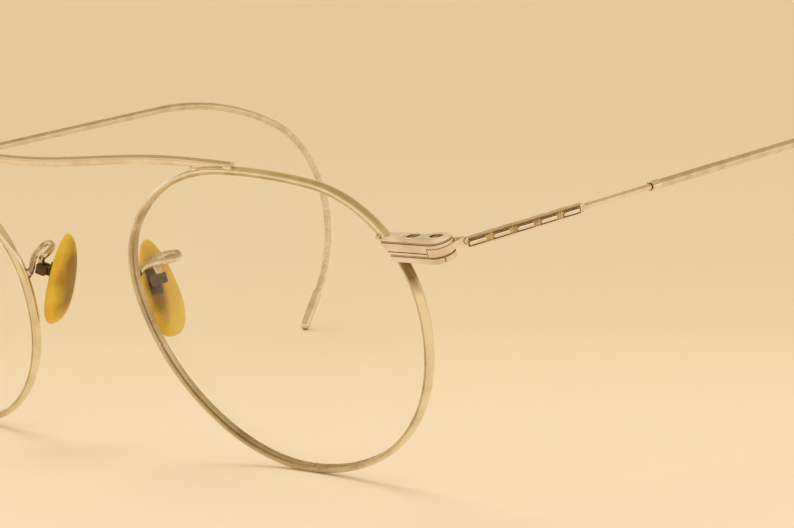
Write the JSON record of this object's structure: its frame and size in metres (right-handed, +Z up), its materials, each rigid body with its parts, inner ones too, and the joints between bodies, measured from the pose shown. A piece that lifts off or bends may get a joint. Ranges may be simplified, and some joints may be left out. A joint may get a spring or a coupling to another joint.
{
  "type": "wire-framed eyeglasses",
  "caption": "Wire-rimmed spectacles: rounded lenses, high bowed brow bar, rocking nose pads on looped wire arms, hinged wire temples that end in springy cable ear hooks",
  "frame": {"origin": "on the resting plane, under the middle of the whole bounding box", "axes": "+X to the wearer's left, +Y from the lenses back to the ears, +Z up from the resting plane"},
  "size_m": [0.1276, 0.1209, 0.0393],
  "materials": {
    "frame_metal": "polished",
    "temple_metal": "polished, engraved",
    "wire_metal": "polished",
    "cable_metal": "wound wire",
    "tip_metal": "polished",
    "core_metal": "drawn wire",
    "screw_metal": "satin",
    "fitting_metal": "satin",
    "pad_amber": "translucent",
    "lens_glass": "clear"
  },
  "bodies": {
    "front": {"rim_left": "frame_metal", "rim_right": "frame_metal", "lens_left": "lens_glass", "lens_right": "lens_glass", "bridge": "frame_metal", "end_piece_upper_left": "frame_metal", "end_piece_upper_right": "frame_metal", "end_piece_lower_left": "frame_metal", "end_piece_lower_right": "frame_metal", "closing_screw_left": "screw_metal", "closing_screw_right": "screw_metal", "hinge_screw_left": "screw_metal", "hinge_screw_right": "screw_metal", "pad_arm_left": "wire_metal", "pad_arm_right": "wire_metal", "pad_box_left": "fitting_metal", "pad_box_right": "fitting_metal", "pad_pin_left": "fitting_metal", "pad_pin_right": "fitting_metal"},
    "temple_left": {"temple_bar_left": "temple_metal", "temple_collar_left": "temple_metal", "temple_core_left": "core_metal", "temple_cable_left": "cable_metal", "temple_tip_left": "tip_metal"},
    "temple_right": {"temple_bar_right": "temple_metal", "temple_collar_right": "temple_metal", "temple_core_right": "core_metal", "temple_cable_right": "cable_metal", "temple_tip_right": "tip_metal"},
    "pad_left": {"pad_eye_left": "fitting_metal", "nose_pad_left": "pad_amber"},
    "pad_right": {"pad_eye_right": "fitting_metal", "nose_pad_right": "pad_amber"}
  },
  "joints": [
    {"name": "temple_left_fold", "type": "hinge", "parent": "front", "child": "temple_left", "pos_m": [0.06066, -0.05508, 0.02907], "axis": [0, -0.3548, 0.9349], "range_deg": [0, 83]},
    {"name": "temple_right_fold", "type": "hinge", "parent": "front", "child": "temple_right", "pos_m": [-0.06066, -0.05508, 0.02907], "axis": [0, 0.3548, -0.9349], "range_deg": [0, 77]},
    {"name": "pad_left_rock", "type": "hinge", "parent": "front", "child": "pad_left", "pos_m": [0.0103, -0.04913, 0.02196], "axis": [0.2864, 0.9475, 0.142], "range_deg": [-8, 8]},
    {"name": "pad_right_rock", "type": "hinge", "parent": "front", "child": "pad_right", "pos_m": [-0.0103, -0.04913, 0.02196], "axis": [0.2864, -0.9475, -0.142], "range_deg": [-8, 8]}
  ]
}
